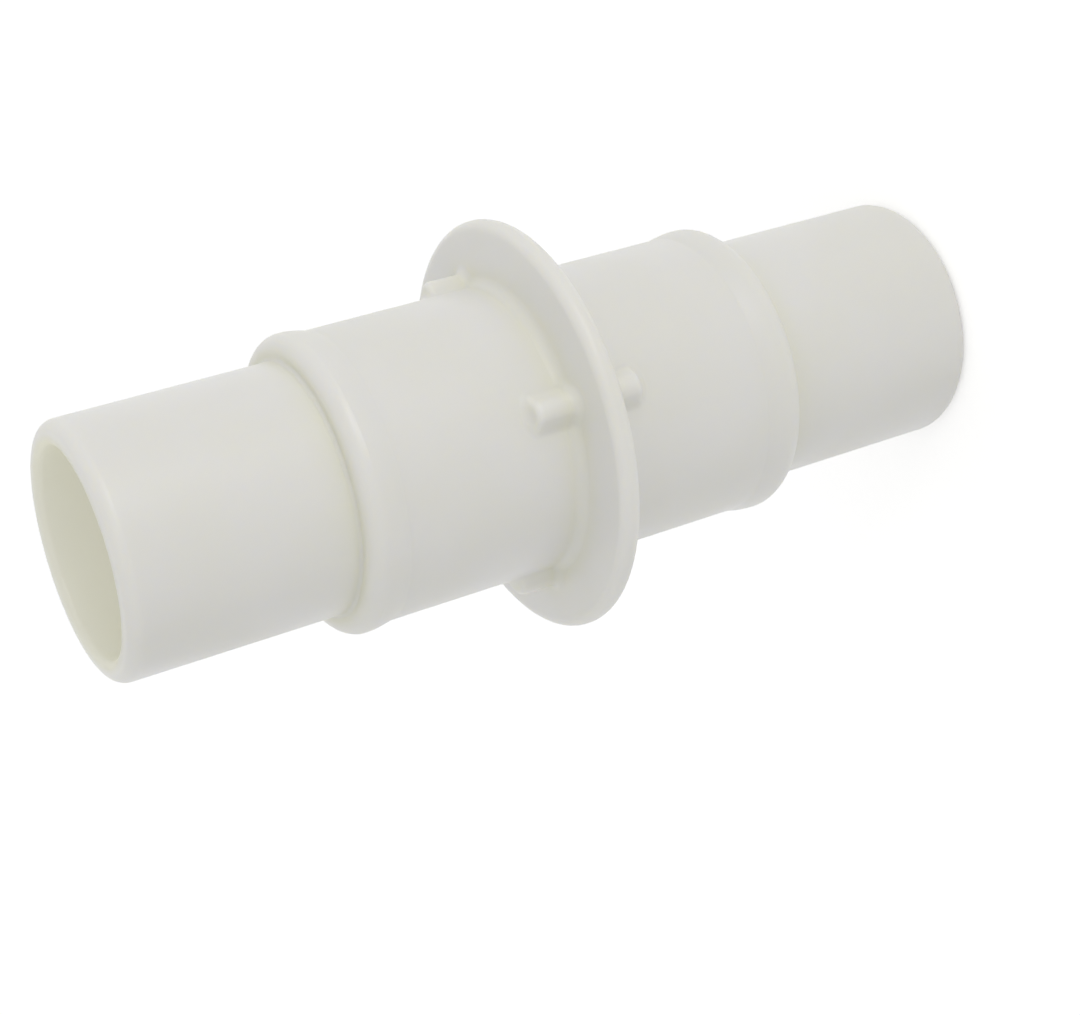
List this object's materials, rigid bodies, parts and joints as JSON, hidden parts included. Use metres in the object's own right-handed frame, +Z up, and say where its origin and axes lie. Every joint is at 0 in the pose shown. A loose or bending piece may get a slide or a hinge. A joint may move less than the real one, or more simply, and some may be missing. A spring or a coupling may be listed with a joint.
{
  "type": "hose connector",
  "caption": "Straight double-ended push-on connector that joins two pool hoses, with a stepped seat each side of a central stop flange and an open bore.",
  "frame": {"origin": "centre of the lower mouth, on the surface that the connector stands on", "axes": "+Z up along the bore towards the upper mouth; +X and +Y each pass through a rib of the flange; both ends are alike, so the part may be turned end for end"},
  "size_m": [0.0532, 0.0532, 0.1194],
  "materials": {
    "white_plastic": "satin"
  },
  "bodies": {
    "root": {"hose_connector": "white_plastic"}
  },
  "joints": []
}
